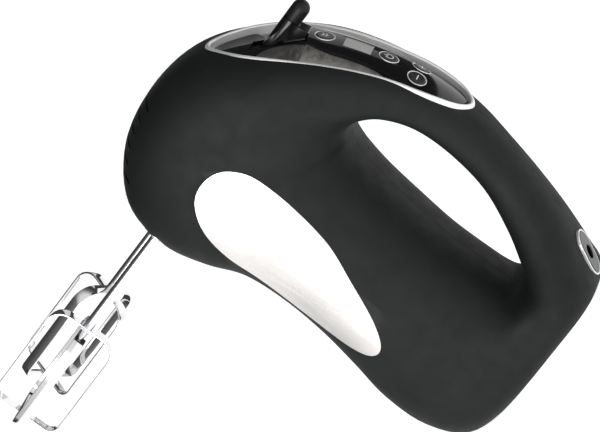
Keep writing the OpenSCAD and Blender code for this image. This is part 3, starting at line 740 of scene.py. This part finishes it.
def grip_dots(place, skin):
    """Rows of small raised dots over the sleeve and its domed end."""
    dot = arc((0, 0), 0.34, 0, 360, 10)[:-1]
    straight = STALK_END - GRIP_START
    for row in range(16):
        along = 1.1 + 0.95 * row
        angle = max(0, (along - straight) / skin)
        x = min(along, straight) + GRIP_START + skin * math.sin(angle)
        radius = skin * math.cos(angle)
        if radius < 0.6:
            return
        count = max(6, round(2 * math.pi * radius / 1.05))
        for k in range(count):
            out = (
                place
                @ Matrix.Rotation(2 * math.pi * (k + 0.5 * (row % 2)) / count, 4, "Z")
                @ Matrix.Translation((radius, 0, x))
                @ Matrix.Rotation(math.pi / 2 - angle, 4, "Y")
            )
            yield prism("dot", dot, -0.1, 0.12, out)


def make_lever():
    finish_piece(rounded_copy("eject_lever", 0.8, 4), "eject_lever")
    place = Matrix.Translation((0, 0, STALK_Z)) @ Matrix.Rotation(math.radians(90), 4, "Y")
    skin = GRIP_R - 0.12
    parts = [grip_skin(place, skin), *grip_dots(place, skin)]
    finish_piece(shade(join("lever_grip", parts), 40), "lever_cap", None, "lever_cap")


# ----------------------------------------------------------------- beaters


def hoop_path(radius, start, end):
    """Closed centre line of a strip hoop: wide shoulders, tighter corners at the foot."""
    shoulder, foot = 9 - STRIP_T / 2, 5.5 - STRIP_T / 2
    top = arc((start - shoulder, radius - shoulder), shoulder, 0, 90, 10)
    low = arc((end + foot, radius - foot), foot, 90, 180, 8)
    half = top + low
    return half + [(x, -y) for x, y in reversed(half)]


def make_hoop(name, node, side, turn, tuck):
    path = hoop_path(
        CAGE_R - STRIP_T / 2, HUB_X - STRIP_T / 2 - tuck, HUB_X - CAGE_LENGTH + STRIP_T / 2 + tuck
    )
    r, w, t = 0.32, STRIP_W / 2, STRIP_T / 2
    profile = (
        arc((t - r, w - r), r, 0, 90, 3) + arc((r - t, w - r), r, 90, 180, 3)
        + arc((r - t, r - w), r, 180, 270, 3) + arc((t - r, r - w), r, 270, 360, 3)
    )
    place = on_shaft(side, turn)
    n = len(path)
    rings = []
    for i, (x, y) in enumerate(path):
        ahead, behind = path[(i + 1) % n], path[i - 1]
        way = Vector((ahead[0] - behind[0], ahead[1] - behind[1])).normalized()
        rings.append(
            [place @ Vector((x + way.y * a, b, y - way.x * a)) for a, b in profile]
        )
    hoop = shade(loft(name, rings, closed=True), 60)
    finish_piece(hoop, node, None, node)


def make_beaters():
    for side, name in ((-1, "left"), (1, "right")):
        turn = PHASES[name]
        make_hoop(name + "_outer_strip", name + "_outer_hoop", side, turn, 0)
        make_hoop(name + "_inner_strip", name + "_inner_hoop", side, turn + 90, STRIP_T)
        finish_piece(rounded_copy(name + "_beater_shaft", 0.3), name + "_beater_shaft")


# ----------------------------------------------------------- the other CAD


def make_fittings():
    for node, width in (("socket_collars", 0.5), ("cord_gland", 0.5), ("gland_bezel", 0.25)):
        finish_piece(rounded_copy(node, width), node)


def dress_inside():
    """The CAD nodes that stay as they are get their slot's material."""
    for name, obj in frame["nodes"].items():
        obj.data.materials.clear()
        obj.data.materials.append(MATERIALS[slot_of(name)])


# ------------------------------------------------------------------- stage


def area_light(name, place, aim, size, energy):
    light = bpy.data.lights.new(name, "AREA")
    light.shape = "RECTANGLE"
    light.size, light.size_y = size
    light.energy = energy
    obj = placed(name, light)
    obj.location = place
    obj.rotation_euler = (Vector(aim) - Vector(place)).to_track_quat("-Z", "Y").to_euler()


def make_world():
    """White backdrop behind the mixer, dark flags at its sides, soft fill in front of it."""
    world = bpy.data.worlds.new("studio")
    bpy.context.scene.world = world
    world.use_nodes = True
    tree = world.node_tree
    direction = tree.nodes.new("ShaderNodeTexCoord").outputs["Generated"]
    along = tree.nodes.new("ShaderNodeVectorMath")
    along.operation = "DOT_PRODUCT"
    along.inputs[1].default_value = BACKDROP_WAY
    tree.links.new(direction, along.inputs[0])
    share = tree.nodes.new("ShaderNodeMapRange")
    tree.links.new(along.outputs["Value"], share.inputs["Value"])
    share.inputs["From Min"].default_value = -1
    ramp = tree.nodes.new("ShaderNodeValToRGB")
    tree.links.new(share.outputs["Result"], ramp.inputs["Fac"])
    for _ in STUDIO_STEPS[2:]:
        ramp.color_ramp.elements.new(0.5)
    for element, (position, level) in zip(ramp.color_ramp.elements, STUDIO_STEPS):
        element.position = position
        element.color = (level, level, level, 1)
    background = tree.nodes["Background"]
    tree.links.new(ramp.outputs["Color"], background.inputs["Color"])
    background.inputs["Strength"].default_value = WORLD_STRENGTH


def make_stage():
    """Pale floor, lit from above the left side, with a weak light from behind."""
    floor = box("floor", (-FLOOR_HALF, -FLOOR_HALF, -20), (FLOOR_HALF, FLOOR_HALF, -0.02))
    glow = {"Emission_Color": (1, 1, 1, 1), "Emission_Strength": FLOOR_GLOW}
    paper = Shader("studio_paper", (0.9, 0.9, 0.9), 0.8, **glow)
    paper.vary_rough(paper.noise(30, 3), 0.05)
    floor.data.materials.append(paper.material)
    make_world()
    bpy.context.scene.view_settings.view_transform = "Standard"
    area_light("back", (0.6, 1.5, 0.62), (0.03, 0, 0.15), (1.2, 0.5), BACK_WATTS)
    area_light("key", (-0.45, -1.5, 0.4), (0, 0, 0.1), (0.9, 0.9), KEY_WATTS)


def make_camera():
    """The photograph's side view: low, from the left rear, tipped over with the nose to the left."""
    azimuth, elevation, roll = (math.radians(a) for a in (26.1, 4.25, 54.3))
    distance, target = 1.9, Vector((-0.0224, 0, 0.1253))
    back = Vector((
        math.sin(azimuth) * math.cos(elevation),
        -math.cos(azimuth) * math.cos(elevation),
        math.sin(elevation),
    ))
    right = Vector((math.cos(azimuth), math.sin(azimuth), 0))
    up = back.cross(right)
    x = right * math.cos(roll) - up * math.sin(roll)
    y = right * math.sin(roll) + up * math.cos(roll)
    data = bpy.data.cameras.new("camera")
    data.sensor_width = 36
    data.lens = 250.2
    data.clip_start, data.clip_end = 0.05, 100
    camera = placed("camera", data)
    camera.matrix_world = Matrix.Translation(target + back * distance) @ Matrix(
        (x, y, back)
    ).transposed().to_4x4()
    bpy.context.scene.camera = camera


make_camera()
make_stage()
dress_inside()
make_casing()
make_inlays()
make_panel()
make_lever()
make_beaters()
make_fittings()
